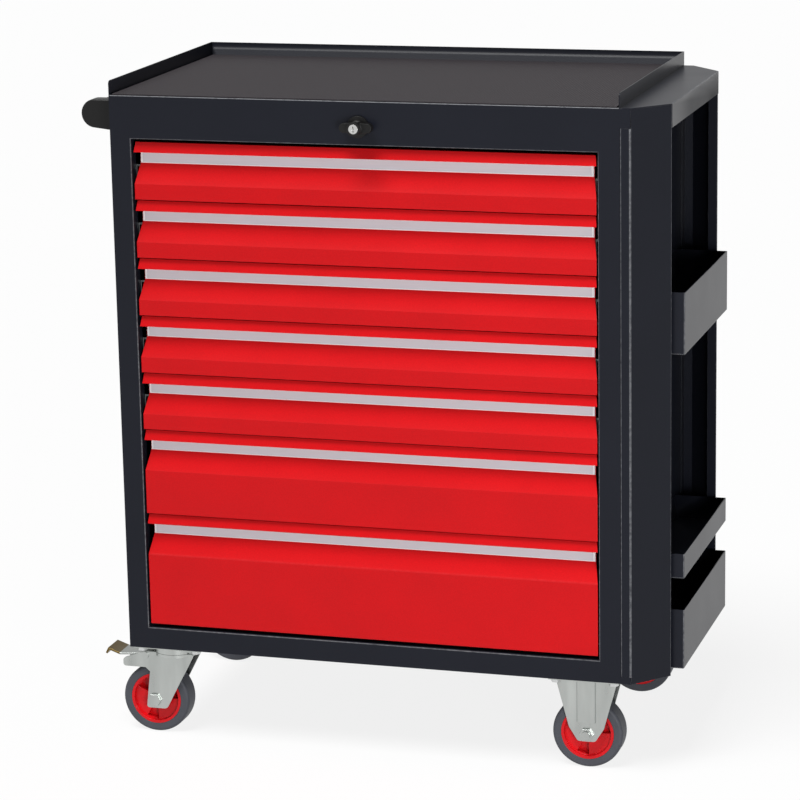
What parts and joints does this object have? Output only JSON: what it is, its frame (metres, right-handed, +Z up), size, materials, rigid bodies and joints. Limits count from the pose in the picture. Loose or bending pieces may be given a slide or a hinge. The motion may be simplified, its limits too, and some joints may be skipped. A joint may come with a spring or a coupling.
{
  "type": "rolling tool cabinet",
  "caption": "Rolling tool cabinet: red drawers with grip lips in an anthracite body, lipped worktop, side rack, push handle, central lock and braked castors.",
  "frame": {"origin": "on the floor, at the middle of the whole outline seen from above", "axes": "+Z up, -Y out of the drawer fronts, +X towards the side rack"},
  "size_m": [0.85, 0.446, 0.9516],
  "materials": {
    "anthracite_paint": "fine textured powder coat, satin",
    "mat_rubber": "fine ribbed matt rubber",
    "black_plastic": "moulded, satin",
    "zinc_steel": "bright zinc plate",
    "slide_steel": "dull zinc plate",
    "drawer_box_steel": "powder coat, satin",
    "bolt_steel": "zinc plated",
    "red_paint": "fine textured powder coat, satin",
    "label_strip": "matt silver-grey",
    "chromate_steel": "yellow chromate over zinc",
    "grey_tyre": "matt grey rubber",
    "red_rim": "moulded, satin gloss",
    "key_silver": "bright nickel"
  },
  "bodies": {
    "cabinet": {"side_panels": "anthracite_paint", "back_panel": "anthracite_paint", "base_panel": "anthracite_paint", "front_frame": "anthracite_paint", "worktop_tray": "anthracite_paint", "worktop_mat": "mat_rubber", "handle_bar": "black_plastic", "handle_brackets": "black_plastic", "rack_posts": "anthracite_paint", "rack_header": "anthracite_paint", "rack_trays": "anthracite_paint", "slide_rails": "slide_steel", "lock_brackets": "zinc_steel", "swivel_plates": "zinc_steel", "fixed_forks": "zinc_steel", "castor_bolts": "bolt_steel"},
    "lock": {"lock_knob": "black_plastic", "lock_rod": "zinc_steel"},
    "key": {"key_cylinder": "key_silver"},
    "lock_bar": {"lock_bar": "zinc_steel"},
    "drawer_1": {"drawer_1_front": "red_paint", "drawer_1_box": "drawer_box_steel", "drawer_1_label": "label_strip"},
    "slides_1": {"drawer_1_slides": "slide_steel"},
    "drawer_2": {"drawer_2_front": "red_paint", "drawer_2_box": "drawer_box_steel", "drawer_2_label": "label_strip"},
    "slides_2": {"drawer_2_slides": "slide_steel"},
    "drawer_3": {"drawer_3_front": "red_paint", "drawer_3_box": "drawer_box_steel", "drawer_3_label": "label_strip"},
    "slides_3": {"drawer_3_slides": "slide_steel"},
    "drawer_4": {"drawer_4_front": "red_paint", "drawer_4_box": "drawer_box_steel", "drawer_4_label": "label_strip"},
    "slides_4": {"drawer_4_slides": "slide_steel"},
    "drawer_5": {"drawer_5_front": "red_paint", "drawer_5_box": "drawer_box_steel", "drawer_5_label": "label_strip"},
    "slides_5": {"drawer_5_slides": "slide_steel"},
    "drawer_6": {"drawer_6_front": "red_paint", "drawer_6_box": "drawer_box_steel", "drawer_6_label": "label_strip"},
    "slides_6": {"drawer_6_slides": "slide_steel"},
    "drawer_7": {"drawer_7_front": "red_paint", "drawer_7_box": "drawer_box_steel", "drawer_7_label": "label_strip"},
    "slides_7": {"drawer_7_slides": "slide_steel"},
    "castor_front_left": {"swivel_fork_front": "zinc_steel"},
    "pedal_front": {"brake_pedal_front": "chromate_steel"},
    "wheel_front_left": {"tyre_front_left": "grey_tyre", "rim_front_left": "red_rim"},
    "wheel_front_right": {"tyre_front_right": "grey_tyre", "rim_front_right": "red_rim"},
    "castor_rear_left": {"swivel_fork_rear": "zinc_steel"},
    "pedal_rear": {"brake_pedal_rear": "chromate_steel"},
    "wheel_rear_left": {"tyre_rear_left": "grey_tyre", "rim_rear_left": "red_rim"},
    "wheel_rear_right": {"tyre_rear_right": "grey_tyre", "rim_rear_right": "red_rim"}
  },
  "joints": [
    {"name": "drawer_1_slide", "type": "slide", "parent": "cabinet", "child": "drawer_1", "axis": [0, -1, 0], "range_m": [0, 0.34]},
    {"name": "slides_1_slide", "type": "slide", "parent": "cabinet", "child": "slides_1", "axis": [0, -1, 0], "range_m": [0, 0.1701]},
    {"name": "drawer_2_slide", "type": "slide", "parent": "cabinet", "child": "drawer_2", "axis": [0, -1, 0], "range_m": [0, 0.34]},
    {"name": "slides_2_slide", "type": "slide", "parent": "cabinet", "child": "slides_2", "axis": [0, -1, 0], "range_m": [0, 0.1701]},
    {"name": "drawer_3_slide", "type": "slide", "parent": "cabinet", "child": "drawer_3", "axis": [0, -1, 0], "range_m": [0, 0.34]},
    {"name": "slides_3_slide", "type": "slide", "parent": "cabinet", "child": "slides_3", "axis": [0, -1, 0], "range_m": [0, 0.1701]},
    {"name": "drawer_4_slide", "type": "slide", "parent": "cabinet", "child": "drawer_4", "axis": [0, -1, 0], "range_m": [0, 0.34]},
    {"name": "slides_4_slide", "type": "slide", "parent": "cabinet", "child": "slides_4", "axis": [0, -1, 0], "range_m": [0, 0.1701]},
    {"name": "drawer_5_slide", "type": "slide", "parent": "cabinet", "child": "drawer_5", "axis": [0, -1, 0], "range_m": [0, 0.34]},
    {"name": "slides_5_slide", "type": "slide", "parent": "cabinet", "child": "slides_5", "axis": [0, -1, 0], "range_m": [0, 0.1701]},
    {"name": "drawer_6_slide", "type": "slide", "parent": "cabinet", "child": "drawer_6", "axis": [0, -1, 0], "range_m": [0, 0.34]},
    {"name": "slides_6_slide", "type": "slide", "parent": "cabinet", "child": "slides_6", "axis": [0, -1, 0], "range_m": [0, 0.1701]},
    {"name": "drawer_7_slide", "type": "slide", "parent": "cabinet", "child": "drawer_7", "axis": [0, -1, 0], "range_m": [0, 0.34]},
    {"name": "slides_7_slide", "type": "slide", "parent": "cabinet", "child": "slides_7", "axis": [0, -1, 0], "range_m": [0, 0.1701]},
    {"name": "castor_front_swivel", "type": "hinge", "parent": "cabinet", "child": "castor_front_left", "pos_m": [-0.317, -0.1528, 0.1226], "axis": [0, 0, 1], "continuous": true},
    {"name": "wheel_front_left_spin", "type": "hinge", "parent": "castor_front_left", "child": "wheel_front_left", "pos_m": [-0.345, -0.1528, 0.05], "axis": [0, 1, 0], "continuous": true},
    {"name": "pedal_front_press", "type": "hinge", "parent": "castor_front_left", "child": "pedal_front", "pos_m": [-0.3575, -0.1528, 0.1163], "axis": [0, -1, 0], "range_deg": [0, 8]},
    {"name": "wheel_front_right_spin", "type": "hinge", "parent": "cabinet", "child": "wheel_front_right", "pos_m": [0.295, -0.1528, 0.05], "axis": [0, 1, 0], "continuous": true},
    {"name": "castor_rear_swivel", "type": "hinge", "parent": "cabinet", "child": "castor_rear_left", "pos_m": [-0.317, 0.18, 0.1226], "axis": [0, 0, 1], "continuous": true},
    {"name": "wheel_rear_left_spin", "type": "hinge", "parent": "castor_rear_left", "child": "wheel_rear_left", "pos_m": [-0.345, 0.18, 0.05], "axis": [0, 1, 0], "continuous": true},
    {"name": "pedal_rear_press", "type": "hinge", "parent": "castor_rear_left", "child": "pedal_rear", "pos_m": [-0.3575, 0.18, 0.1163], "axis": [0, -1, 0], "range_deg": [0, 8]},
    {"name": "wheel_rear_right_spin", "type": "hinge", "parent": "cabinet", "child": "wheel_rear_right", "pos_m": [0.295, 0.18, 0.05], "axis": [0, 1, 0], "continuous": true},
    {"name": "lock_turn", "type": "hinge", "parent": "cabinet", "child": "lock", "pos_m": [-0.011, -0.197, 0.8976], "axis": [0, 1, 0], "range_deg": [0, 90.2]},
    {"name": "key_turn", "type": "hinge", "parent": "lock", "child": "key", "pos_m": [-0.011, -0.223, 0.8976], "axis": [0, 1, 0], "range_deg": [0, 90]},
    {"name": "lock_bar_slide", "type": "slide", "parent": "cabinet", "child": "lock_bar", "axis": [0, 0, -1], "range_m": [0, 0.009]}
  ],
  "couplings": [
    {"joint": "slides_1_slide", "follows": "drawer_1_slide", "ratio": 0.5},
    {"joint": "slides_2_slide", "follows": "drawer_2_slide", "ratio": 0.5},
    {"joint": "slides_3_slide", "follows": "drawer_3_slide", "ratio": 0.5},
    {"joint": "slides_4_slide", "follows": "drawer_4_slide", "ratio": 0.5},
    {"joint": "slides_5_slide", "follows": "drawer_5_slide", "ratio": 0.5},
    {"joint": "slides_6_slide", "follows": "drawer_6_slide", "ratio": 0.5},
    {"joint": "slides_7_slide", "follows": "drawer_7_slide", "ratio": 0.5},
    {"joint": "lock_turn", "follows": "lock_bar_slide", "rad_per_m": 174.53}
  ]
}
